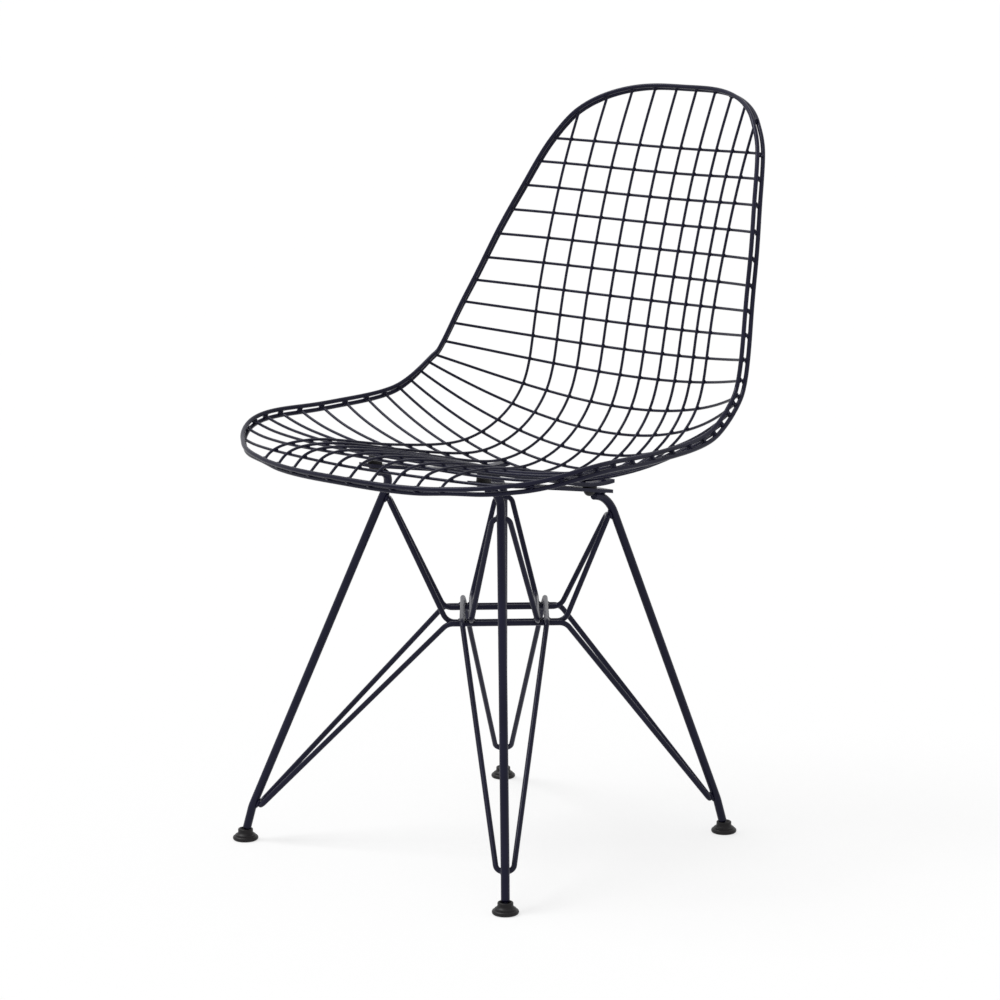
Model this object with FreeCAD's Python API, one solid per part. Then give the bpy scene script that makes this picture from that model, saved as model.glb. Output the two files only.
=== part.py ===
import FreeCAD, Part
import math
import os

# Wire mesh side chair on a crossed wire base. Millimetres.
# X to the right seen from the front, the front faces -Y, Z up.
# The shapes are laid out from a point on the floor under the crossing of the braces and
# moved at the end, so that the origin lies on the floor under the middle of the chair.

V = FreeCAD.Vector
UP = V(0, 0, 1)

centre_shift_y = -39.2

# Wire and rod diameters
mesh_wire_d = 3.2
rim_wire_d = 5.0
brace_wire_d = 6.0
leg_rod_d = 9.5

# How far two welded wires are set into each other
weld_set = 0.12

# Seat shell: the centre line in side view, (y, z) from above the top rim to below the front rim
CENTRE_LINE = (
    (333.1, 852.4), (291.4, 751.9), (260.1, 646.9), (237.1, 549.9), (214.6, 475.4),
    (166.5, 427.5), (92.2, 407.3), (-5.2, 426.5), (-102.0, 449.8), (-180.3, 463.8),
    (-207.7, 464.7), (-224.5, 460.6), (-237.1, 451.8),
)

# Cross-section of the shell at even stations along the centre line:
# rise at REF_HALF_WIDTH from the round dish and from the steeper flare of the wings
REF_HALF_WIDTH = 150.0
DISH = (24.8, 35.6, 40.8, 40.8, 35.3, 36.6, 23.5, 5.0, 2.5, -13.4)
FLARE = (1.4, -5.5, -5.9, -3.4, 0.6, -0.6, 0.8, 2.9, 0.6, -1.0)

# How far the cross wires lean towards the front at REF_HALF_WIDTH
ROW_LEAN = (15.7, 4.9, 2.9, -3.1, 4.4, 0.8, -2.8, -25.6)

# Half outline of the two rims on the developed shell, one over and one under the wire ends:
# distance down the centre line from its top end, distance from the middle
OUTLINE = (
    (21.4, 0.0), (24.1, 68.2), (49.6, 127.3), (98.0, 158.3), (149.4, 174.8),
    (202.3, 191.2), (262.4, 205.8), (333.2, 222.2), (422.9, 232.6), (538.1, 240.7),
    (684.6, 252.7), (867.0, 221.4), (891.8, 0.0),
)
# How far the wire ends stand past the centre lines of the rims
wire_overrun = 1.8

# Cross wires: where they meet the centre line, counted from the top
back_rows = 10
seat_rows = 15
first_row = 93.5
back_row_pitch = 29.97
hip_row_gap = 37.3
seat_row_pitch = 35.05
# The seat rows close up towards the front
seat_row_closing = 0.113

# Long wires: distance of the five pairs from the middle
LONG_WIRES = (15.0, 45.6, 75.5, 105.1, 133.9)

# Base plan: the feet, half spread and distance from the origin
front_foot_x = 202.6
front_foot_y = -199.7
rear_foot_x = 173.4
rear_foot_y = 196.0

# Legs: heading of each upright plane off the X axis in degrees, lean of the rod in that plane,
# height of the lower bend, step between foot and bend
front_leg_heading = 45.0
rear_leg_heading = 46.6
front_leg_slope = 0.420
rear_leg_slope = 0.359
low_bend_z = 39.3
low_bend_step = 8.2
low_bend_r = 45.0
front_top_bend_r = 16.0
rear_top_bend_r = 30.0

# Glides: a moulded foot on a ball stud
glide_d = 29.0
glide_rim_z = 5.2
glide_neck_z = 6.6
glide_boss_d = 17.0
glide_boss_edge = 1.2
glide_wall = 1.3
glide_h = 13.4
ball_z = 7.6
ball_d = 8.0
ball_play = 0.15
socket_mouth_d = 7.0
stud_neck_d = 4.5
rod_end_gap = 5.0
rod_end_round = 2.0
rod_end_taper = 0.7

# Braces: four closed loops of wire, heights where they meet the legs and each other
upper_hook_front_drop = 29.6
upper_hook_rear_drop = 21.2
lower_hook_z = 41.3
crossing_z = 258.6
bar_half_length = 66.0
upper_bar_offset = 37.0
lower_bar_offset = 47.0
hook_half_width = 9.0
hook_roundness = 0.93
bar_corner_r = 14.0

# Straps of the base below the seat, and rails welded under the mesh
strap_w = 20.0
strap_t = 4.0
strap_front_y = -122.0
strap_rear_y = 95.0
strap_front_x = 83.2
strap_taper = 0.0127
rail_w = 14.0
rail_t = 4.0
rail_front_y = -126.0
rail_rear_y = 101.0
mount_front_y = -108.0
mount_rear_y = 66.0
screw_d = 5.0
screw_play = 0.5
cap_d = 12.5
cap_h = 5.6
cap_edge = 1.4
cap_clear = 1.0
screw_short = 0.8
spacer_d = 16.0
front_spacer_l = 8.7
rear_spacer_l = 2.0

SIDES = (("left", -1), ("right", 1))


class Spline:
    """Natural cubic spline through tuples of numbers."""

    def __init__(self, knots, values):
        self.k = list(knots)
        self.v = [tuple(v) for v in values]
        n = len(self.k)
        self.m = [[0.0] * len(self.v[0]) for _ in range(n)]
        for c in range(len(self.v[0])):
            a = [0.0] * n
            b = [0.0] * n
            for i in range(1, n - 1):
                h0 = self.k[i] - self.k[i - 1]
                h1 = self.k[i + 1] - self.k[i]
                rise = (self.v[i + 1][c] - self.v[i][c]) / h1 - (self.v[i][c] - self.v[i - 1][c]) / h0
                p = 2 * (h0 + h1) - h0 * a[i - 1]
                a[i] = h1 / p
                b[i] = (6 * rise - h0 * b[i - 1]) / p
            for i in range(n - 2, 0, -1):
                self.m[i][c] = b[i] - a[i] * self.m[i + 1][c]

    def at(self, u):
        i = 0
        while i < len(self.k) - 2 and u > self.k[i + 1]:
            i += 1
        h = self.k[i + 1] - self.k[i]
        q = (u - self.k[i]) / h
        p = 1 - q
        out = []
        for c in range(len(self.v[0])):
            bend = (p ** 3 - p) * self.m[i][c] + (q ** 3 - q) * self.m[i + 1][c]
            out.append(p * self.v[i][c] + q * self.v[i + 1][c] + bend * h * h / 6)
        return out


def chords(points):
    run = [0.0]
    for a, b in zip(points, points[1:]):
        run.append(run[-1] + math.dist(a, b))
    return run


centre_knots = chords(CENTRE_LINE)
centre_spline = Spline(centre_knots, CENTRE_LINE)
TABLE = 600
table_u = [centre_knots[-1] * i / TABLE for i in range(TABLE + 1)]
table_s = chords([centre_spline.at(u) for u in table_u])
shell_length = table_s[-1]


def stations(values):
    last = len(values) - 1
    return Spline([shell_length * i / last for i in range(last + 1)], [(v,) for v in values])


dish_at = stations(DISH)
flare_at = stations(FLARE)
lean_at = stations(ROW_LEAN)


def centre_at(s):
    """Centre line point and unit tangent at a distance from its top end, run on straight past the ends."""
    inside = min(max(s, 0.0), shell_length)
    lo = 0
    hi = TABLE
    while hi - lo > 1:
        mid = (lo + hi) // 2
        if table_s[mid] <= inside:
            lo = mid
        else:
            hi = mid
    part = (inside - table_s[lo]) / (table_s[hi] - table_s[lo])
    u = table_u[lo] + part * (table_u[hi] - table_u[lo])
    y, z = centre_spline.at(u)
    y1, z1 = centre_spline.at(u + 0.05)
    y0, z0 = centre_spline.at(u - 0.05)
    d = math.hypot(y1 - y0, z1 - z0)
    ty = (y1 - y0) / d
    tz = (z1 - z0) / d
    return y + ty * (s - inside), z + tz * (s - inside), ty, tz


def bare_point(s, x):
    q = x / REF_HALF_WIDTH
    near = min(max(s, 0.0), shell_length)
    s = s + lean_at.at(near)[0] * q ** 2
    near = min(max(s, 0.0), shell_length)
    y, z, ty, tz = centre_at(s)
    rise = dish_at.at(near)[0] * q ** 2 + flare_at.at(near)[0] * q ** 4
    return V(x, y + rise * tz, z - rise * ty)


def shell_point(s, x, lift=0.0):
    """Point of the shell, lifted along its normal towards the sitter."""
    here = bare_point(s, x)
    if lift == 0.0:
        return here
    along = bare_point(s + 0.5, x) - bare_point(s - 0.5, x)
    across = bare_point(s, x + 0.5) - bare_point(s, x - 0.5)
    normal = across.cross(along)
    normal.normalize()
    return here - normal * lift


def round_wire(path, d):
    """Solid of a round wire along a smooth path."""
    edge = path.OrderedEdges[0]
    start = edge.valueAt(edge.FirstParameter)
    ahead = edge.tangentAt(edge.FirstParameter)
    ring = Part.Wire(Part.makeCircle(d / 2, start, ahead))
    return path.makePipeShell([ring], True, False)


def arc_edge(a, apex, b):
    """Arc that leaves one point and reaches the other along the lines to their common apex."""
    chord = (a + b) * 0.5
    up = apex - chord
    reach = (apex - a).Length
    half = math.asin(min(1.0, up.Length / reach))
    if half < 1e-4:
        return Part.LineSegment(a, b).toShape()
    r = reach / math.tan(half)
    up.normalize()
    return Part.Arc(a, chord + up * (r * (1 - math.cos(half))), b).toShape()


def arc_path(points, tangents):
    """Two tangent arcs from each point to the next, as a wire bender would form them."""
    edges = []
    for p, q, t, u in zip(points, points[1:], tangents, tangents[1:]):
        v = q - p
        turn = 1 - t.dot(u)
        along = v.dot(t + u)
        if turn < 1e-9:
            d = v.Length / 4
        else:
            d = (math.sqrt(along ** 2 + 2 * turn * v.dot(v)) - along) / (2 * turn)
        m = p + t * d
        n = q - u * d
        joint = (m + n) * 0.5
        edges.append(arc_edge(p, m, joint))
        edges.append(arc_edge(joint, n, q))
    return Part.Wire(edges)


def direction(place, u):
    t = place(u + 0.2) - place(u - 0.2)
    t.normalize()
    return t


def bent_wire(place, stops, d):
    """Round wire along a smooth line given by a function, bent between a few stops."""
    path = arc_path([place(u) for u in stops], [direction(place, u) for u in stops])
    return round_wire(path, d)


def rounded_path(points, radii, closed=False):
    """Straight runs joined by tangent arcs."""
    n = len(points)
    cuts = []
    for i in range(n):
        if not closed and i in (0, n - 1):
            cuts.append((points[i], None, points[i]))
            continue
        here = points[i]
        back = points[i - 1] - here
        on = points[(i + 1) % n] - here
        back.normalize()
        on.normalize()
        turn = math.pi - back.getAngle(on)
        reach = radii[i] * math.tan(turn / 2)
        half = back + on
        half.normalize()
        mid = here + half * (radii[i] / math.cos(turn / 2) - radii[i])
        cuts.append((here + back * reach, mid, here + on * reach))
    edges = []
    for i in range(n):
        first, mid, last = cuts[i]
        if mid is not None:
            edges.append(Part.Arc(first, mid, last).toShape())
        if i < n - 1 or closed:
            ahead = cuts[(i + 1) % n][0]
            if last.distanceToPoint(ahead) > 1e-6:
                edges.append(Part.LineSegment(last, ahead).toShape())
    return Part.Wire(edges)


# Rim outline on the developed shell, both halves and a little overlap at each end
half = list(OUTLINE)
ring_points = [(s, -x) for s, x in half[3:0:-1]] + half + [(s, -x) for s, x in half[-2:-5:-1]]
ring_knots = chords(ring_points)
ring_spline = Spline(ring_knots, ring_points)
RING_STEPS = 1200
ring_span = ring_knots[2 + len(half)] - ring_knots[3]
ring = [ring_spline.at(ring_knots[3] + ring_span * i / RING_STEPS) for i in range(RING_STEPS + 1)]


def edge_x(line, s):
    """Half width of an outline at one distance down the shell."""
    best = 0.0
    for (s0, x0), (s1, x1) in zip(line, line[1:]):
        if (s0 - s) * (s1 - s) <= 0 and s0 != s1:
            best = max(best, x0 + (x1 - x0) * (s - s0) / (s1 - s0))
    return best


def edge_s(line, x, front):
    """Where an outline crosses a long wire, at the top or at the front."""
    found = []
    for (s0, x0), (s1, x1) in zip(line, line[1:]):
        if (x0 - x) * (x1 - x) <= 0 and x0 != x1:
            found.append(s0 + (s1 - s0) * (x - x0) / (x1 - x0))
    return max(found) if front else min(found)


# Rows of cross wires and the layers of wire
rows = [first_row + back_row_pitch * i for i in range(back_rows)]
hip_row = rows[-1] + hip_row_gap
rows += [hip_row + seat_row_pitch * i - seat_row_closing * i ** 2 for i in range(seat_rows)]
layer = (mesh_wire_d - weld_set) / 2
cross_lift = -layer
long_lift = layer
rim_reach = (mesh_wire_d + rim_wire_d) / 2 - weld_set

parts = {}

# Cross wires, numbered from the top of the back to the front edge
for number, s in enumerate(rows, 1):
    end = edge_x(ring, s) + wire_overrun
    bends = [LONG_WIRES[1], LONG_WIRES[4], end]
    stops = [-x for x in reversed(bends)] + bends
    line = lambda x, s=s: shell_point(s, x, cross_lift)
    parts["cross_wire_%02d" % number] = bent_wire(line, stops, mesh_wire_d)

# Long wires, numbered from the left side
columns = [-x for x in reversed(LONG_WIRES)] + list(LONG_WIRES)
hip = back_rows - 2
bend_rows = rows[:hip:3] + rows[hip:hip + 5] + rows[hip + 6:-1:2] + rows[-2:-1]
for number, x in enumerate(columns, 1):
    top = edge_s(ring, abs(x), False) - wire_overrun
    front = edge_s(ring, abs(x), True) + wire_overrun
    stops = [top] + bend_rows + [(rows[-2] + front) / 2, (rows[-1] + front) / 2, front]
    line = lambda s, x=x: shell_point(s, x, long_lift)
    parts["long_wire_%02d" % number] = bent_wire(line, stops, mesh_wire_d)


def eased(q):
    q = min(max(q, 0.0), 1.0)
    return q * q * (3 - 2 * q)


def rim_point(reach, u):
    """Point of a rim wire, level with the long wires at both ends and with the cross wires between."""
    u = min(max(u, -RING_STEPS), RING_STEPS)
    at = min(int(abs(u)), RING_STEPS - 1)
    part = abs(u) - at
    s = ring[at][0] + part * (ring[at + 1][0] - ring[at][0])
    x = ring[at][1] + part * (ring[at + 1][1] - ring[at][1])
    row = rows[0] if s < rows[back_rows] else rows[-1]
    low = eased((x - LONG_WIRES[-1]) / (edge_x(ring, row) - LONG_WIRES[-1]))
    p = shell_point(s, x, long_lift + low * (cross_lift - long_lift) + reach)
    return p if u >= 0 else V(-p.x, p.y, p.z)


# The rims are bent at each wire they hold, and between wires that lie far apart
rim_bend_pitch = 40.0
held = [next(i for i, (s, x) in enumerate(ring) if x >= wire) for wire in LONG_WIRES]
held += [next(i for i, (s, x) in enumerate(ring) if s >= row) for row in rows]
held += [next(i for i, (s, x) in enumerate(ring) if s > rows[-1] and x <= wire) for wire in reversed(LONG_WIRES)]
ring_run = chords(ring)
rim_stops = []
for a, b in zip(held, held[1:] + [RING_STEPS]):
    shares = math.ceil((ring_run[b] - ring_run[a]) / rim_bend_pitch)
    rim_stops += [a + (b - a) * k / shares for k in range(shares)]
RIM_TURN = 4
for name, reach in (("inner", rim_reach), ("outer", -rim_reach)):
    half_points = [rim_point(reach, u) for u in rim_stops]
    half_turns = [direction(lambda v, r=reach: rim_point(r, v * RIM_TURN), u / RIM_TURN) for u in rim_stops]
    top = rim_point(reach, 0)
    front = rim_point(reach, RING_STEPS)
    points = [V(0, top.y, top.z)] + half_points + [V(0, front.y, front.z)]
    points += [V(-p.x, p.y, p.z) for p in reversed(half_points)] + points[:1]
    turns = [V(1, 0, 0)] + half_turns + [V(-1, 0, 0)]
    turns += [V(t.x, -t.y, -t.z) for t in reversed(half_turns)] + turns[:1]
    parts["rim_wire_%s" % name] = round_wire(arc_path(points, turns), rim_wire_d)

# Base: the two diagonals cross over one point
cross_part = front_foot_x / (front_foot_x + rear_foot_x)
cross_y = front_foot_y + cross_part * (rear_foot_y - front_foot_y)


def foot_at(side, front):
    return V(side * front_foot_x, front_foot_y, 0) if front else V(side * rear_foot_x, rear_foot_y, 0)


def diagonal(side, front, t, off, z):
    """Point over a diagonal of the base: t from the crossing towards a foot, off to the diagonal's side."""
    out = foot_at(side, front) - V(0, cross_y, 0)
    out.normalize()
    return V(0, cross_y, 0) + out * t + out.cross(UP) * off + UP * z


def leg_plane(side, front, t, off, z):
    """Point of a leg's upright plane: t inwards from its foot, off to the plane's side."""
    heading = math.radians(front_leg_heading if front else rear_leg_heading)
    out = V(side * math.cos(heading), math.sin(heading) * (-1 if front else 1), 0)
    return foot_at(side, front) - out * t + out.cross(UP) * off + UP * z


def strap_x(y):
    return strap_front_x - strap_taper * (y - strap_front_y)


def rail_over(y):
    """Upper face of a rail: it touches the cross wires at its inner edge."""
    x = strap_x(y) - rail_w / 2
    lo = rows[back_rows]
    hi = rows[-1]
    for _ in range(60):
        s = (lo + hi) / 2
        if shell_point(s, x, cross_lift).y > y:
            lo = s
        else:
            hi = s
    return shell_point(lo, x, cross_lift).z - (mesh_wire_d / 2 - weld_set)


# The straps run straight between the two mounts, each below its rail by the length of a spacer
front_strap_z = rail_over(mount_front_y) - rail_t - front_spacer_l
rear_strap_z = rail_over(mount_rear_y) - rail_t - rear_spacer_l
strap_slope = (front_strap_z - rear_strap_z) / (mount_rear_y - mount_front_y)


def strap_up(side):
    """Unit normal of a strap's upper face."""
    up = V(-side * strap_taper * strap_slope, strap_slope, 1 + strap_taper ** 2)
    up.normalize()
    return up


def strap_over(y):
    return front_strap_z - strap_slope * (y - mount_front_y)


def strap_under(y):
    return strap_over(y) - strap_t / strap_up(1).z


def leg_point(side, front, z):
    """Point of a leg's axis above its lower bend."""
    slope = front_leg_slope if front else rear_leg_slope
    return leg_plane(side, front, low_bend_step + slope * (z - low_bend_z), 0, z)


def shoulder_height(front):
    """Height at which the axis of a leg comes to lie under its strap."""
    drop = leg_rod_d / 2 - weld_set
    lo = low_bend_z
    hi = 2 * strap_under(0)
    for _ in range(60):
        z = (lo + hi) / 2
        if z < strap_under(leg_point(1, front, z).y) - drop:
            lo = z
        else:
            hi = z
    return lo


def leg(side, front):
    ball = leg_plane(side, front, 0, 0, ball_z)
    knee = leg_point(side, front, low_bend_z)
    lower = knee - ball
    lower.normalize()
    start = ball + lower * rod_end_gap
    shoulder = leg_point(side, front, shoulder_height(front))
    forward = V(side * strap_taper, -1, strap_slope)
    forward.normalize()
    # the rod ends short of the screw cap
    end_y = (mount_front_y if front else mount_rear_y) + cap_d / 2 + cap_clear
    end = shoulder + forward * ((end_y - shoulder.y) / forward.y)
    top_bend_r = front_top_bend_r if front else rear_top_bend_r
    path = rounded_path([start, knee, shoulder, end], [0, low_bend_r, top_bend_r, 0])
    rod = round_wire(path, leg_rod_d)
    r = leg_rod_d / 2
    dome = Part.makeCylinder(r + 1, rod_end_round, start, lower)
    dome = dome.cut(Part.makeCone(r - rod_end_round * rod_end_taper, r + 0.02, rod_end_round, start, lower))
    rod = rod.cut(dome)
    neck = Part.makeCylinder(stud_neck_d / 2, rod_end_gap + 1.0, ball, lower)
    return rod.fuse([neck, Part.makeSphere(ball_d / 2, ball)]).removeSplitter(), ball


def glide(ball):
    """Moulded disc with a rounded rim, a waist and a boss, turned about the upright axis."""
    r = glide_d / 2
    b = glide_boss_d / 2
    e = glide_boss_edge
    waist = (r + b) / 2
    outline = [
        Part.LineSegment(V(0, 0, 0), V(r - glide_rim_z / 2, 0, 0)),
        Part.Arc(V(r - glide_rim_z / 2, 0, 0), V(r, 0, glide_rim_z / 2), V(r - glide_rim_z / 2, 0, glide_rim_z)),
        Part.LineSegment(V(r - glide_rim_z / 2, 0, glide_rim_z), V(waist, 0, glide_neck_z)),
        Part.Arc(V(waist, 0, glide_neck_z), V(b + e, 0, glide_neck_z + e), V(b, 0, glide_neck_z + 2.4 * e)),
        Part.LineSegment(V(b, 0, glide_neck_z + 2.4 * e), V(b, 0, glide_h - e)),
        Part.Arc(V(b, 0, glide_h - e), V(b - 0.3 * e, 0, glide_h - 0.3 * e), V(b - e, 0, glide_h)),
        Part.LineSegment(V(b - e, 0, glide_h), V(0, 0, glide_h)),
        Part.LineSegment(V(0, 0, glide_h), V(0, 0, 0)),
    ]
    body = Part.Face(Part.Wire([edge.toShape() for edge in outline])).revolve(V(0, 0, 0), UP, 360)
    centre = V(0, 0, ball_z)
    socket = Part.makeSphere(ball_d / 2 + ball_play, centre)
    mouth = socket_mouth_d / 2
    mouth_z = ball_z + math.sqrt((ball_d / 2 + ball_play) ** 2 - mouth ** 2)
    # the flared mouth leaves room for the rod's end at full tilt
    flare = Part.makeCone(mouth, b - glide_wall, glide_h - mouth_z, V(0, 0, mouth_z))
    throat = Part.makeCylinder(mouth, mouth_z - ball_z, centre)
    body = body.cut(socket.fuse([flare, throat]))
    body.translate(V(ball.x, ball.y, 0))
    return body


for place, front in (("front", True), ("rear", False)):
    for name, side in SIDES:
        rod, ball = leg(side, front)
        parts["leg_%s_%s" % (place, name)] = rod
        parts["glide_%s_%s" % (place, name)] = glide(ball)

# Braces: hooked round the inside of two opposite legs, flat over the crossing
hook_in = leg_rod_d / 2 + brace_wire_d / 2 - weld_set


def hook(side, front, z, tip_off):
    slope = front_leg_slope if front else rear_leg_slope
    inwards = low_bend_step + slope * (z - low_bend_z) + hook_in * math.sqrt(1 + slope ** 2)
    return leg_plane(side, front, inwards, tip_off, z)


def brace(side, front_z, rear_z, offset, level):
    """Closed loop from the front leg of one side to the rear leg of the other."""
    a = hook_half_width
    t = bar_half_length
    corners = [
        diagonal(side, True, t, offset, level), hook(side, True, front_z, a),
        hook(side, True, front_z, -a), diagonal(side, True, t, -offset, level),
        diagonal(-side, False, t, offset, level), hook(-side, False, rear_z, a),
        hook(-side, False, rear_z, -a), diagonal(-side, False, t, -offset, level),
    ]
    # two halves meet in the middle of the flat bars
    first_mid = (corners[0] + corners[7]) * 0.5
    second_mid = (corners[3] + corners[4]) * 0.5
    h = a * hook_roundness
    radii = [0, bar_corner_r, h, h, bar_corner_r, 0]
    front_half = round_wire(rounded_path([first_mid] + corners[:4] + [second_mid], radii), brace_wire_d)
    rear_half = round_wire(rounded_path([second_mid] + corners[4:] + [first_mid], radii), brace_wire_d)
    return front_half.fuse(rear_half).removeSplitter()


upper_hook_front_z = shoulder_height(True) - upper_hook_front_drop
upper_hook_rear_z = shoulder_height(False) - upper_hook_rear_drop
for name, side, level in (("left", -1, crossing_z), ("right", 1, crossing_z + brace_wire_d - weld_set)):
    upper = brace(side, upper_hook_front_z, upper_hook_rear_z, upper_bar_offset, level)
    lower = brace(side, lower_hook_z, lower_hook_z, lower_bar_offset, level)
    parts["brace_upper_front_%s" % name] = upper
    parts["brace_lower_front_%s" % name] = lower


# Straps of the base and rails of the seat, as flat bars in an upright plane
def bar_plane(side, y, z):
    return V(side * strap_x(y), y, z)


def flat_bar(side, under, over, width):
    """Bar between two lines of (y, z) points, with its width across the upright plane."""
    def line(points):
        vectors = [bar_plane(side, y, z) for y, z in points]
        if len(vectors) == 2:
            return Part.LineSegment(vectors[0], vectors[1]).toShape()
        curve = Part.BSplineCurve()
        curve.interpolate(Points=vectors)
        return curve.toShape()

    low = line(under)
    high = line(over)
    ends = [Part.LineSegment(bar_plane(side, *under[i]), bar_plane(side, *over[i])).toShape() for i in (0, -1)]
    face = Part.Face(Part.Wire(Part.__sortEdges__([low, ends[1], high, ends[0]])))
    across = V(1, side * strap_taper, 0)
    across.normalize()
    face.translate(across * (-width / 2))
    return face.extrude(across * width)


def screw(foot, up, shank_l):
    """Screw with a domed cap, turned about its axis, with the cap's flat side at the foot point."""
    r = screw_d / 2
    cap_r = cap_d / 2
    crown = cap_h - cap_edge
    ball_r = (cap_r ** 2 + crown ** 2) / (2 * crown)
    half_turn = math.asin(cap_r / ball_r) / 2
    mid = V(ball_r * math.sin(half_turn), 0, ball_r - cap_h - ball_r * math.cos(half_turn))
    corners = [V(cap_r, 0, -cap_edge), V(cap_r, 0, 0), V(r, 0, 0), V(r, 0, shank_l), V(0, 0, shank_l), V(0, 0, -cap_h)]
    edges = [Part.LineSegment(a, b).toShape() for a, b in zip(corners, corners[1:])]
    edges.append(Part.Arc(corners[-1], mid, corners[0]).toShape())
    body = Part.Face(Part.Wire(edges)).revolve(V(0, 0, 0), UP, 360)
    body.Placement = FreeCAD.Placement(foot, FreeCAD.Rotation(UP, up))
    return body


RAIL_POINTS = 9
rail_ys = [rail_front_y + (rail_rear_y - rail_front_y) * i / (RAIL_POINTS - 1) for i in range(RAIL_POINTS)]
strap_ends = (strap_front_y, strap_rear_y)
screws = []
spacers = []
for name, side in SIDES:
    strap = flat_bar(side, [(y, strap_under(y)) for y in strap_ends], [(y, strap_over(y)) for y in strap_ends], strap_w)
    rail = flat_bar(side, [(y, rail_over(y) - rail_t) for y in rail_ys],
                    [(y, rail_over(y)) for y in rail_ys], rail_w)
    up = strap_up(side)
    for y in (mount_front_y, mount_rear_y):
        foot = bar_plane(side, y, strap_under(y))
        rise = rail_over(y) - strap_under(y)
        shank_l = (rise - screw_short) * up.z
        screws.append(screw(foot, up, shank_l))
        spacer = Part.makeCylinder(spacer_d / 2, rise, foot + up * strap_t, up)
        spacer = spacer.cut(flat_bar(side, [(q, rail_over(q) - rail_t) for q in rail_ys],
                                     [(q, rail_over(q) + 2 * rise) for q in rail_ys], 2 * spacer_d))
        hole = Part.makeCylinder(screw_d / 2 + screw_play, 3 * rise, foot - up * rise, up)
        spacers.append(spacer.cut(hole))
        strap = strap.cut(hole)
        rail = rail.cut(Part.makeCylinder(screw_d / 2, shank_l, foot, up))
    parts["base_strap_%s" % name] = strap
    parts["seat_rail_%s" % name] = rail
parts["mount_spacers"] = Part.makeCompound(spacers)
parts["mount_screws"] = Part.makeCompound(screws)

os.makedirs("parts", exist_ok=True)
for name, shape in parts.items():
    shape.translate(V(0, centre_shift_y, 0))
    shape.exportStep(os.path.join("parts", name + ".step"))
    solids = shape.Solids
    bad = [s for s in solids if not s.isValid() or s.Volume <= 0]
    print(name, len(solids), "solids", round(sum(s.Volume for s in solids), 1), "invalid" if bad else "")
box = Part.makeCompound(list(parts.values())).BoundBox
print("box", [round(q, 1) for q in (box.XMin, box.XMax, box.YMin, box.YMax, box.ZMin, box.ZMax)])
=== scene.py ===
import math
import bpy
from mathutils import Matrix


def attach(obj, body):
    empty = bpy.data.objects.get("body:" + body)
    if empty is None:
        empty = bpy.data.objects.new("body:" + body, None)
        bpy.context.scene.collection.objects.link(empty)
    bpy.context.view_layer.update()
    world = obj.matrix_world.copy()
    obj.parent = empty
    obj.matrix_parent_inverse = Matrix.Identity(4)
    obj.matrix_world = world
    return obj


bl_info = {
    "name": "Wire Mesh Chair",
    "version": (1, 0, 0),
    "blender": (4, 5, 0),
    "location": "View3D > Sidebar > Chair",
    "description": "Coats the wire mesh chair, adds its weld beads, finishes its glides and sets the studio",
    "category": "Object",
}

import bpy
import numpy as np
from bpy.props import FloatProperty, FloatVectorProperty, PointerProperty
from mathutils import Matrix, Vector
from mathutils.bvhtree import BVHTree
from mathutils.geometry import intersect_ray_tri

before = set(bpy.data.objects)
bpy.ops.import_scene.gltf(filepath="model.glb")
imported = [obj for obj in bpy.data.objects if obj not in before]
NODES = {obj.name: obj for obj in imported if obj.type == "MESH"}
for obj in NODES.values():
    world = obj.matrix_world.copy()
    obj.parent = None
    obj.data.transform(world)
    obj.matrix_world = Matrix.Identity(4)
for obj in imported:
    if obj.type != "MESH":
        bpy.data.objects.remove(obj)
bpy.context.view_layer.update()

CROSS_WIRES = sorted(n for n in NODES if n.startswith("cross_wire"))
LONG_WIRES = sorted(n for n in NODES if n.startswith("long_wire"))
RIM_WIRES = sorted(n for n in NODES if n.startswith("rim_wire"))
BRACES = sorted(n for n in NODES if n.startswith("brace"))
LEGS = sorted(n for n in NODES if n.startswith("leg"))
STRAPS = sorted(n for n in NODES if n.startswith("base_strap"))
RAILS = sorted(n for n in NODES if n.startswith("seat_rail"))
GLIDES = sorted(n for n in NODES if n.startswith("glide"))
COATED = CROSS_WIRES + LONG_WIRES + RIM_WIRES + BRACES + LEGS + STRAPS + RAILS


class CoatSettings(bpy.types.PropertyGroup):
    """The powder coat on all wire, rod and flat bar."""

    colour: FloatVectorProperty(
        name="Colour", description="Colour of the powder coat",
        subtype="COLOR", size=3, min=0, max=1, default=(0.0055, 0.0050, 0.0170),
    )
    roughness: FloatProperty(
        name="Roughness", description="Roughness of the semi-gloss coat", min=0, max=1, default=0.31,
    )
    peel_size: FloatProperty(
        name="Peel size", description="Width of the ripples that the coat cures to",
        subtype="DISTANCE", unit="LENGTH", min=0.0002, max=0.01, default=0.0012,
    )
    peel_depth: FloatProperty(
        name="Peel depth", description="Depth of the ripples that the coat cures to",
        subtype="DISTANCE", unit="LENGTH", min=0, max=0.001, default=0.000018,
    )


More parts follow.
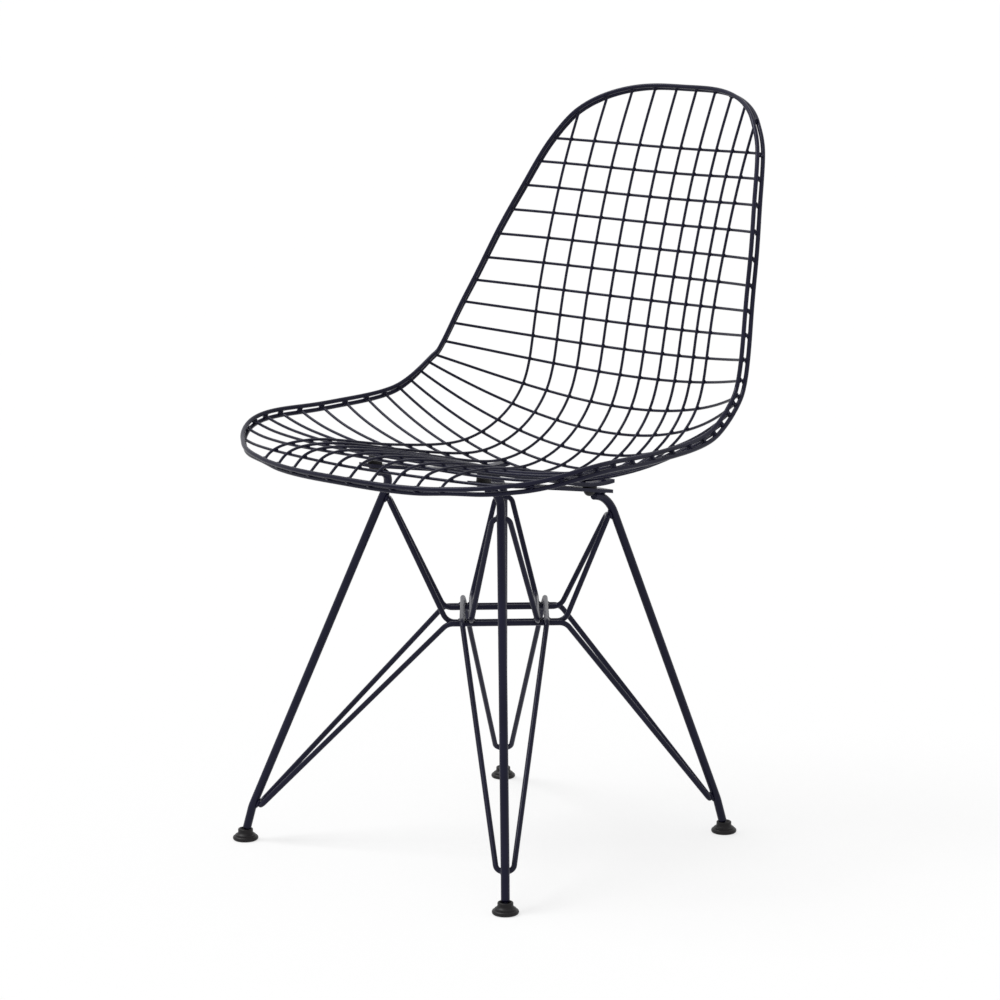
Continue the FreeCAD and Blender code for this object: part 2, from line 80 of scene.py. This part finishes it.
class WeldSettings(bpy.types.PropertyGroup):
    """The weld beads where wires are pressed into each other."""

    mesh_wire: FloatProperty(
        name="Mesh wire", description="Radius of the wires of the mesh",
        subtype="DISTANCE", unit="LENGTH", min=0.0005, max=0.01, default=0.0016,
    )
    rim_wire: FloatProperty(
        name="Rim wire", description="Radius of the two rim wires",
        subtype="DISTANCE", unit="LENGTH", min=0.0005, max=0.01, default=0.0025,
    )
    brace_wire: FloatProperty(
        name="Brace wire", description="Radius of the brace loops",
        subtype="DISTANCE", unit="LENGTH", min=0.0005, max=0.01, default=0.003,
    )
    leg_rod: FloatProperty(
        name="Leg rod", description="Radius of the legs",
        subtype="DISTANCE", unit="LENGTH", min=0.0005, max=0.02, default=0.00475,
    )
    spread: FloatProperty(
        name="Spread", description="Radius of a bead as a share of the mean radius of its two wires",
        min=1, max=3, default=1.62,
    )
    rise: FloatProperty(
        name="Rise", description="Half height of a bead as a share of the mean radius of its two wires",
        min=0.1, max=1, default=0.58,
    )


class GlideSettings(bpy.types.PropertyGroup):
    """The moulded glides and the spacers."""

    colour: FloatVectorProperty(
        name="Colour", description="Colour of the moulded plastic",
        subtype="COLOR", size=3, min=0, max=1, default=(0.0095, 0.0085, 0.0095),
    )
    roughness: FloatProperty(
        name="Roughness", description="Roughness of the moulded plastic", min=0, max=1, default=0.42,
    )
    scuff_colour: FloatVectorProperty(
        name="Scuff colour", description="Colour of the edge that rubs on the floor",
        subtype="COLOR", size=3, min=0, max=1, default=(0.030, 0.027, 0.026),
    )
    scuff_height: FloatProperty(
        name="Scuff height", description="How far up from the floor a glide is scuffed",
        subtype="DISTANCE", unit="LENGTH", min=0, max=0.01, default=0.0016,
    )


class StageSettings(bpy.types.PropertyGroup):
    """The camera, the floor and the lamps."""

    azimuth: FloatProperty(
        name="Azimuth", description="Direction of the camera round the chair, from the front",
        subtype="ANGLE", unit="ROTATION", default=math.radians(43.35),
    )
    elevation: FloatProperty(
        name="Elevation", description="Height of the camera above the horizon",
        subtype="ANGLE", unit="ROTATION", default=math.radians(10.68),
    )
    distance: FloatProperty(
        name="Distance", description="Distance from the camera to the point that it looks at",
        subtype="DISTANCE", unit="LENGTH", default=3.8185,
    )
    focal: FloatProperty(
        name="Focal length", description="Focal length on a sensor 36 mm wide, in millimetres",
        default=123.1,
    )
    target: FloatVectorProperty(
        name="Target", description="Point that the camera looks at",
        subtype="TRANSLATION", unit="LENGTH", size=3, default=(0.0033, -0.0361, 0.3913),
    )
    floor_colour: FloatVectorProperty(
        name="Floor colour", description="Colour of the studio floor",
        subtype="COLOR", size=3, min=0, max=1, default=(0.98, 0.98, 0.98),
    )
    floor_glow: FloatProperty(
        name="Floor glow", description="Share of plain white in what the camera sees of the floor",
        min=0, max=1, default=0.70,
    )
    sun_power: FloatProperty(
        name="Key power", description="Strength of the key light, in watts per square metre",
        default=1.75,
    )
    sun_spread: FloatProperty(
        name="Key spread", description="Angle that the key light fills, which softens its shadows",
        subtype="ANGLE", unit="ROTATION", default=math.radians(28),
    )
    sun_from: FloatVectorProperty(
        name="Key direction", description="Direction that the key light comes from",
        subtype="XYZ", size=3, default=(-0.45, -0.35, 1.0),
    )
    sky_power: FloatProperty(
        name="Sky power", description="Strength of the light from all round", default=0.55,
    )


class Value:
    """A socket of a material. Sums and products of values add the Math nodes for them."""

    def __init__(self, tree, socket=None):
        self.tree = tree
        self.socket = socket

    def node(self, kind, settings=None, inputs=None, output=0):
        """Add a node: its settings first, then the values or links of its sockets."""
        made = self.tree.nodes.new(kind)
        for name, setting in (settings or {}).items():
            setattr(made, name, setting)
        for name, value in (inputs or {}).items():
            if isinstance(value, Value):
                self.tree.links.new(value.socket, made.inputs[name])
            else:
                made.inputs[name].default_value = value
        return Value(self.tree, made.outputs[output])

    def math(self, operation, *terms):
        return self.node("ShaderNodeMath", {"operation": operation}, dict(enumerate(terms)))

    def __add__(self, other):
        return self.math("ADD", self, other)

    def __sub__(self, other):
        return self.math("SUBTRACT", self, other)

    def __rsub__(self, other):
        return self.math("SUBTRACT", other, self)

    def __mul__(self, other):
        return self.math("MULTIPLY", self, other)

    def __truediv__(self, other):
        return self.math("DIVIDE", self, other)

    def clamped(self):
        return self.math("MINIMUM", self.math("MAXIMUM", self, 0.0), 1.0)

    def shown_by(self, kind):
        """Join this shader to the output node that the material or the world is seen through."""
        self.tree.links.new(self.socket, self.tree.nodes.new(kind).inputs["Surface"])


def new_finish(name, colour):
    """An empty material and a handle on its node tree."""
    finish = bpy.data.materials.new(name)
    finish.use_nodes = True
    finish.diffuse_color = (*colour, 1)
    finish.node_tree.nodes.clear()
    return finish, Value(finish.node_tree)


def noise(tree, place, size, detail=2.0, rough=0.5):
    """Noise whose lumps are about one size wide, in metres."""
    return tree.node(
        "ShaderNodeTexNoise", None,
        {"Vector": place, "Scale": 1 / size, "Detail": detail, "Roughness": rough},
    )


def blend_colour(tree, share, first, second):
    """The first colour where the share is nought, the second where it is one."""
    return tree.node(
        "ShaderNodeMix", {"data_type": "RGBA"},
        {"Factor": share, 6: (*first, 1), 7: (*second, 1)}, output=2,
    )


def surface(tree, inputs):
    """A Principled surface on the material's output."""
    tree.node("ShaderNodeBsdfPrincipled", None, inputs).shown_by("ShaderNodeOutputMaterial")


def relief(tree, height):
    """A normal that follows a height in metres."""
    return tree.node("ShaderNodeBump", None, {"Height": height, "Distance": 1.0, "Strength": 1.0})


# The powder coat: how wide its slow changes and its specks are, how far both change its gloss,
# and the share of the peel's depth that the specks stand up
DRIFT_SIZE = 0.060
DRIFT_RANGE = (0.35, 0.70)
DRIFT_GLOSS = 0.10
SPECK_SIZE = 0.0005
SPECK_GLOSS = 0.04
SPECK_SHARE = 0.15
# Where the coat is thin it is a little paler
THIN_GAIN = 1.35
THIN_LIFT = 0.002
# The lumps of a weld bead under its coat
WELD_LUMP_SIZE = 0.0016
WELD_LUMP_DEPTH = 0.00006


def coat_finish(settings, name, lump_size=None, lump_depth=0.0):
    """Semi-gloss powder coat: a fine cured ripple, slow changes in gloss, and lumps under it on welds."""
    finish, tree = new_finish(name, settings.colour)
    place = tree.node("ShaderNodeTexCoord", output="Object")
    peel = noise(tree, place, settings.peel_size, 3.0, 0.55)
    drift = noise(tree, place, DRIFT_SIZE)
    specks = noise(tree, place, SPECK_SIZE, 1.0)
    pale = tuple(c * THIN_GAIN + THIN_LIFT for c in settings.colour)
    thin = tree.node(
        "ShaderNodeMapRange", None, {"Value": drift, "From Min": DRIFT_RANGE[0], "From Max": DRIFT_RANGE[1]},
    )
    height = peel * settings.peel_depth + specks * (settings.peel_depth * SPECK_SHARE)
    if lump_size:
        height = height + noise(tree, place, lump_size, 1.0, 0.4) * lump_depth
    # both noises lie about their middle, so the roughness set is the mean of the coat
    mean_change = (DRIFT_GLOSS + SPECK_GLOSS) / 2
    surface(tree, {
        "Base Color": blend_colour(tree, thin, settings.colour, pale),
        "Roughness": drift * DRIFT_GLOSS + specks * SPECK_GLOSS + (settings.roughness - mean_change),
        "IOR": 1.5,
        "Specular IOR Level": 0.17,
        "Specular Tint": (0.80, 0.84, 1.0, 1),
        "Coat Weight": 0.04,
        "Coat Roughness": 0.12,
        "Normal": relief(tree, height),
    })
    return finish


# The moulded plastic: its spark grain, the scratches of its rubbed edge, and how they change it
GRAIN_SIZE = 0.0004
GRAIN_DEPTH = 0.00003
GRAIN_GLOSS = 0.10
SCRATCH_SIZE = 0.004
SCRATCH_DEPTH = 0.00008
RUB_UNEVENNESS = 1.6
RUB_COVER = 0.8
RUB_GLOSS = 0.3


def plastic_finish(settings):
    """Moulded plastic with a fine spark texture and a scuffed edge next to the floor."""
    finish, tree = new_finish("moulded_black_plastic", settings.colour)
    place = tree.node("ShaderNodeTexCoord", output="Object")
    height = tree.node("ShaderNodeSeparateXYZ", None, {"Vector": place}, output="Z")
    grain = noise(tree, place, GRAIN_SIZE, 2.0, 0.6)
    scratches = noise(tree, place, SCRATCH_SIZE, 4.0, 0.7)
    rubbed = (1.0 - height / settings.scuff_height + (scratches - 0.5) * RUB_UNEVENNESS).clamped()
    mean_roughness = settings.roughness - GRAIN_GLOSS / 2
    surface(tree, {
        "Base Color": blend_colour(tree, rubbed * RUB_COVER, settings.colour, settings.scuff_colour),
        "Roughness": (rubbed * RUB_GLOSS + grain * GRAIN_GLOSS + mean_roughness).clamped(),
        "IOR": 1.48,
        "Specular IOR Level": 0.22,
        "Normal": relief(tree, grain * GRAIN_DEPTH + scratches * rubbed * SCRATCH_DEPTH),
    })
    return finish


# The enamel of the screw caps
CAP_GRAIN_SIZE = 0.0009
CAP_GRAIN_DEPTH = 0.00002
CAP_GRAIN_GLOSS = 0.12
CAP_LEAST_ROUGHNESS = 0.26
CAP_PALE_GAIN = 1.4


def cap_finish(settings):
    """Black screw caps, a little glossier than the glides."""
    finish, tree = new_finish("black_screw_cap", settings.colour)
    place = tree.node("ShaderNodeTexCoord", output="Object")
    grain = noise(tree, place, CAP_GRAIN_SIZE)
    pale = tuple(c * CAP_PALE_GAIN for c in settings.colour)
    surface(tree, {
        "Base Color": blend_colour(tree, grain, settings.colour, pale),
        "Roughness": grain * CAP_GRAIN_GLOSS + CAP_LEAST_ROUGHNESS,
        "IOR": 1.5,
        "Specular IOR Level": 0.25,
        "Normal": relief(tree, grain * CAP_GRAIN_DEPTH),
    })
    return finish


def paint(names, finish):
    """Give CAD nodes a finish, and leave their shapes alone."""
    for name in names:
        mesh = NODES[name].data
        mesh.materials.clear()
        mesh.materials.append(finish)


class Tree:
    """A Geometry Nodes tree under construction, with named inputs."""

    def __init__(self, name, inputs):
        self.tree = bpy.data.node_groups.new(name, "GeometryNodeTree")
        face = self.tree.interface
        face.new_socket("Geometry", in_out="OUTPUT", socket_type="NodeSocketGeometry")
        face.new_socket("Geometry", in_out="INPUT", socket_type="NodeSocketGeometry")
        for label, kind in inputs:
            face.new_socket(label, in_out="INPUT", socket_type=kind)
        self.start = self.tree.nodes.new("NodeGroupInput")
        self.end = self.tree.nodes.new("NodeGroupOutput")

    def add(self, kind, settings=None, inputs=None):
        made = self.tree.nodes.new(kind)
        for name, setting in (settings or {}).items():
            setattr(made, name, setting)
        for name, value in (inputs or {}).items():
            if isinstance(value, bpy.types.NodeSocket):
                self.tree.links.new(value, made.inputs[name])
            else:
                made.inputs[name].default_value = value
        return made

    def finish(self, geometry):
        """Realize the instances, shade them smooth, give them their material and end the tree."""
        real = self.add("GeometryNodeRealizeInstances", None, {"Geometry": geometry})
        smooth = self.add("GeometryNodeSetShadeSmooth", None, {0: real.outputs[0]})
        painted = self.add(
            "GeometryNodeSetMaterial", None,
            {"Geometry": smooth.outputs[0], "Material": self.start.outputs["Material"]},
        )
        self.tree.links.new(painted.outputs[0], self.end.inputs[0])
        return self.tree


def bead_tree():
    """A flattened bead on every point, square to the point's normal and as large as its size."""
    made = Tree("weld_beads", [
        ("Spread", "NodeSocketFloat"), ("Rise", "NodeSocketFloat"), ("Material", "NodeSocketMaterial"),
    ])
    facing = made.add("GeometryNodeInputNamedAttribute", {"data_type": "FLOAT_VECTOR"}, {"Name": "facing"})
    size = made.add("GeometryNodeInputNamedAttribute", {"data_type": "FLOAT"}, {"Name": "size"})
    turn = made.add("FunctionNodeAlignRotationToVector", {"axis": "Z"}, {"Vector": facing.outputs[0]})
    shape = made.add("ShaderNodeCombineXYZ", None, {
        "X": made.start.outputs["Spread"], "Y": made.start.outputs["Spread"], "Z": made.start.outputs["Rise"],
    })
    scale = made.add(
        "ShaderNodeVectorMath", {"operation": "SCALE"}, {"Vector": shape.outputs[0], "Scale": size.outputs[0]},
    )
    bead = made.add("GeometryNodeMeshIcoSphere", None, {"Radius": 1.0, "Subdivisions": 2})
    spots = made.add("GeometryNodeInstanceOnPoints", None, {
        "Points": made.start.outputs["Geometry"], "Instance": bead.outputs["Mesh"],
        "Rotation": turn.outputs[0], "Scale": scale.outputs[0],
    })
    return made.finish(spots.outputs[0])


def run_tree(name, points, tree, inputs):
    """Run a tree on points and keep the result as a plain mesh object."""
    seed = bpy.data.meshes.new(name + "_points")
    seed.from_pydata([p["at"] for p in points], [], [])
    facing = seed.attributes.new("facing", "FLOAT_VECTOR", "POINT")
    facing.data.foreach_set("vector", [c for p in points for c in p["facing"]])
    size = seed.attributes.new("size", "FLOAT", "POINT")
    size.data.foreach_set("value", [p["size"] for p in points])
    piece = bpy.data.objects.new(name, seed)
    bpy.context.scene.collection.objects.link(piece)
    modifier = piece.modifiers.new(name, "NODES")
    modifier.node_group = tree
    for socket in tree.interface.items_tree:
        if socket.in_out == "INPUT" and socket.name in inputs:
            modifier[socket.identifier] = inputs[socket.name]
    bpy.context.view_layer.update()
    real = bpy.data.meshes.new_from_object(piece.evaluated_get(bpy.context.evaluated_depsgraph_get()))
    piece.modifiers.clear()
    piece.data = real
    real.name = name
    return piece


# How far a skin stands off its wire, so that two wires that only just touch are found to meet
SKIN = 0.0004
# Two spots further apart than this are two welds
WELD_APART = 0.012
# Triangles of less than half this area, in square metres, have no direction to trust
LEAST_AREA = 1e-14


class Skin:
    """The triangles of a CAD node, moved out a little, in a search tree."""

    def __init__(self, name):
        mesh = NODES[name].data
        mesh.calc_loop_triangles()
        corners = np.empty(len(mesh.vertices) * 3, np.float32)
        mesh.vertices.foreach_get("co", corners)
        index = np.empty(len(mesh.loop_triangles) * 3, np.int32)
        mesh.loop_triangles.foreach_get("vertices", index)
        faces = corners.reshape(-1, 3)[index].reshape(-1, 3, 3).astype(float)
        normal = np.cross(faces[:, 1] - faces[:, 0], faces[:, 2] - faces[:, 0])
        length = np.linalg.norm(normal, axis=1)
        keep = length > LEAST_AREA
        faces = faces[keep]
        self.normal = normal[keep] / length[keep, None]
        self.faces = faces + self.normal[:, None, :] * SKIN
        points = self.faces.reshape(-1, 3)
        triangles = np.arange(len(points)).reshape(-1, 3)
        self.search = BVHTree.FromPolygons(points.tolist(), triangles.tolist())


def crossings(first, second):
    """Points where the edges of one triangle pierce another."""
    found = []
    for edges, face in ((first, second), (second, first)):
        for i in range(3):
            start = edges[i]
            way = edges[(i + 1) % 3] - start
            hit = intersect_ray_tri(*face, way, start, True)
            if hit is not None and 0 <= (hit - start).dot(way) <= way.length_squared:
                found.append(hit)
    return found


def touches(first, second):
    """The spots where two skins meet: the middle, the direction from first to second, and the points."""
    spots = []
    for i, j in first.search.overlap(second.search):
        one = [Vector(p) for p in first.faces[i]]
        two = [Vector(p) for p in second.faces[j]]
        facing = Vector(first.normal[i]) - Vector(second.normal[j])
        for point in crossings(one, two):
            near = next((s for s in spots if (s["points"][0] - point).length < WELD_APART), None)
            if near is None:
                near = {"points": [], "facing": Vector()}
                spots.append(near)
            near["points"].append(point)
            near["facing"] += facing
    for spot in spots:
        spot["at"] = sum(spot["points"], Vector()) / len(spot["points"])
        spot["facing"] = spot["facing"].normalized()
    return spots


def weld_points(pairs, skins):
    """A point for every weld between pairs of pieces, sized by the mean radius of the two."""
    points = []
    for first, second, size in pairs:
        for spot in touches(skins[first], skins[second]):
            points.append({"at": spot["at"], "facing": spot["facing"], "size": size})
    return points


def add_welds(name, pairs, finish):
    """One piece holding the beads of all these welds, riding on the frame."""
    welds = bpy.context.scene.chair_welds
    skins = {n: Skin(n) for n in {n for pair in pairs for n in pair[:2]}}
    inputs = {"Spread": welds.spread, "Rise": welds.rise, "Material": finish}
    tree = bpy.data.node_groups.get("weld_beads") or bead_tree()
    points = weld_points(pairs, skins)
    piece = run_tree(name, points, tree, inputs)
    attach(piece, "frame")
    return piece


class CHAIR_OT_coat_steel(bpy.types.Operator):
    """Give all wire, rod and flat bar the powder coat"""
    bl_idname = "chair.coat_steel"
    bl_label = "Coat the Steel"

    def execute(self, context):
        settings = context.scene.chair_coat
        paint(COATED, coat_finish(settings, "powder_coated_steel"))
        coat_finish(settings, "powder_coated_weld", WELD_LUMP_SIZE, WELD_LUMP_DEPTH)
        return {"FINISHED"}


class CHAIR_OT_weld_mesh(bpy.types.Operator):
    """Add the weld beads of the mesh, one where each cross wire meets a long wire"""
    bl_idname = "chair.weld_mesh"
    bl_label = "Weld the Mesh"

    def execute(self, context):
        welds = context.scene.chair_welds
        pairs = [(a, b, welds.mesh_wire) for a in CROSS_WIRES for b in LONG_WIRES]
        add_welds("mesh_weld_beads", pairs, bpy.data.materials["powder_coated_weld"])
        return {"FINISHED"}


class CHAIR_OT_weld_rims(bpy.types.Operator):
    """Add the weld beads that hold the mesh on its two rim wires and its two rails"""
    bl_idname = "chair.weld_rims"
    bl_label = "Weld the Rims and Rails"

    def execute(self, context):
        welds = context.scene.chair_welds
        size = (welds.mesh_wire + welds.rim_wire) / 2
        pairs = [(a, b, size) for a in CROSS_WIRES + LONG_WIRES for b in RIM_WIRES]
        pairs += [(a, b, welds.mesh_wire) for a in CROSS_WIRES for b in RAILS]
        add_welds("rim_weld_beads", pairs, bpy.data.materials["powder_coated_weld"])
        return {"FINISHED"}


class CHAIR_OT_weld_base(bpy.types.Operator):
    """Add the weld beads of the base: braces on braces and on legs, and legs under the straps"""
    bl_idname = "chair.weld_base"
    bl_label = "Weld the Base"

    def execute(self, context):
        welds = context.scene.chair_welds
        left = [n for n in BRACES if n.endswith("left")]
        right = [n for n in BRACES if n.endswith("right")]
        pairs = [(a, b, welds.brace_wire) for a in left for b in right]
        size = (welds.brace_wire + welds.leg_rod) / 2
        pairs += [(a, b, size) for a in BRACES for b in LEGS]
        pairs += [(a, b, welds.brace_wire) for a in STRAPS for b in LEGS]
        add_welds("base_weld_beads", pairs, bpy.data.materials["powder_coated_weld"])
        return {"FINISHED"}


class CHAIR_OT_finish_plastic(bpy.types.Operator):
    """Give the glides and spacers their moulded plastic and the screw caps their black finish"""
    bl_idname = "chair.finish_plastic"
    bl_label = "Finish the Plastic and Caps"

    def execute(self, context):
        settings = context.scene.chair_glides
        paint(GLIDES + ["mount_spacers"], plastic_finish(settings))
        paint(["mount_screws"], cap_finish(settings))
        return {"FINISHED"}


class CHAIR_OT_set_stage(bpy.types.Operator):
    """Lay the floor, hang the lamps and aim the camera"""
    bl_idname = "chair.set_stage"
    bl_label = "Set the Stage"

    def execute(self, context):
        settings = context.scene.chair_stage
        lay_floor(settings)
        light_world(settings)
        hang_sun(settings)
        aim_camera(settings)
        context.scene.view_settings.view_transform = "Standard"
        return {"FINISHED"}


FLOOR_HALF_SIDE = 60.0


def seen_directly(tree):
    """One for rays from the camera or a reflection, which see the studio as plain white."""
    camera = tree.node("ShaderNodeLightPath", output="Is Camera Ray")
    glossy = tree.node("ShaderNodeLightPath", output="Is Glossy Ray")
    through = tree.node("ShaderNodeLightPath", output="Is Transmission Ray")
    return (camera + glossy + through).clamped()


def lay_floor(settings):
    """A floor that shows the chair's shadow, and is white where the camera sees it unshaded."""
    mesh = bpy.data.meshes.new("studio_floor")
    side = FLOOR_HALF_SIDE
    corners = [(-side, -side, 0), (side, -side, 0), (side, side, 0), (-side, side, 0)]
    mesh.from_pydata(corners, [], [(0, 1, 2, 3)])
    finish, tree = new_finish("studio_floor", settings.floor_colour)
    plain = tree.node("ShaderNodeBsdfDiffuse", None, {"Color": (*settings.floor_colour, 1)})
    white = tree.node("ShaderNodeEmission", None, {"Color": (1, 1, 1, 1), "Strength": 1.0})
    mixed = tree.node(
        "ShaderNodeMixShader", None,
        {0: seen_directly(tree) * settings.floor_glow, 1: plain, 2: white},
    )
    mixed.shown_by("ShaderNodeOutputMaterial")
    mesh.materials.append(finish)
    floor = bpy.data.objects.new("studio_floor", mesh)
    bpy.context.scene.collection.objects.link(floor)


def light_world(settings):
    """A soft light from all round, which the camera sees as plain white."""
    world = bpy.data.worlds.new("studio")
    world.use_nodes = True
    world.node_tree.nodes.clear()
    bpy.context.scene.world = world
    tree = Value(world.node_tree)
    level = seen_directly(tree) * (1 - settings.sky_power) + settings.sky_power
    light = tree.node("ShaderNodeBackground", None, {"Color": (1, 1, 1, 1), "Strength": level})
    light.shown_by("ShaderNodeOutputWorld")


def hang_sun(settings):
    """The key light, broad enough to leave only soft shadows at the feet."""
    lamp = bpy.data.lights.new("key_light", "SUN")
    lamp.energy = settings.sun_power
    lamp.angle = settings.sun_spread
    sun = bpy.data.objects.new("key_light", lamp)
    sun.rotation_euler = Vector(settings.sun_from).to_track_quat("Z", "Y").to_euler()
    bpy.context.scene.collection.objects.link(sun)


def aim_camera(settings):
    """The camera, set round the point that it looks at."""
    lens = bpy.data.cameras.new("camera")
    lens.sensor_width = 36.0
    lens.lens = settings.focal
    camera = bpy.data.objects.new("camera", lens)
    flat = math.cos(settings.elevation)
    away = Vector((
        math.sin(settings.azimuth) * flat, -math.cos(settings.azimuth) * flat, math.sin(settings.elevation),
    ))
    camera.matrix_world = (
        Matrix.Translation(Vector(settings.target) + away * settings.distance)
        @ away.to_track_quat("Z", "Y").to_matrix().to_4x4()
    )
    bpy.context.scene.collection.objects.link(camera)
    bpy.context.scene.camera = camera


STEPS = (
    CHAIR_OT_coat_steel, CHAIR_OT_weld_mesh, CHAIR_OT_weld_rims, CHAIR_OT_weld_base,
    CHAIR_OT_finish_plastic, CHAIR_OT_set_stage,
)
SETTINGS = {
    "chair_coat": CoatSettings, "chair_welds": WeldSettings,
    "chair_glides": GlideSettings, "chair_stage": StageSettings,
}


class CHAIR_PT_panel(bpy.types.Panel):
    """The chair's sizes and steps"""
    bl_idname = "CHAIR_PT_panel"
    bl_label = "Wire Mesh Chair"
    bl_space_type = "VIEW_3D"
    bl_region_type = "UI"
    bl_category = "Chair"

    def draw(self, context):
        for name, group in SETTINGS.items():
            box = self.layout.box()
            for field in group.__annotations__:
                box.prop(getattr(context.scene, name), field)
        for step in STEPS:
            self.layout.operator(step.bl_idname)


def register():
    for group in SETTINGS.values():
        bpy.utils.register_class(group)
    for name, group in SETTINGS.items():
        setattr(bpy.types.Scene, name, PointerProperty(type=group))
    for step in STEPS:
        bpy.utils.register_class(step)
    bpy.utils.register_class(CHAIR_PT_panel)


def unregister():
    bpy.utils.unregister_class(CHAIR_PT_panel)
    for step in reversed(STEPS):
        bpy.utils.unregister_class(step)
    for name, group in SETTINGS.items():
        delattr(bpy.types.Scene, name)
        bpy.utils.unregister_class(group)


def main():
    register()
    bpy.ops.chair.coat_steel()
    bpy.ops.chair.weld_mesh()
    bpy.ops.chair.weld_rims()
    bpy.ops.chair.weld_base()
    bpy.ops.chair.finish_plastic()
    bpy.ops.chair.set_stage()


if __name__ == "__main__":
    main()
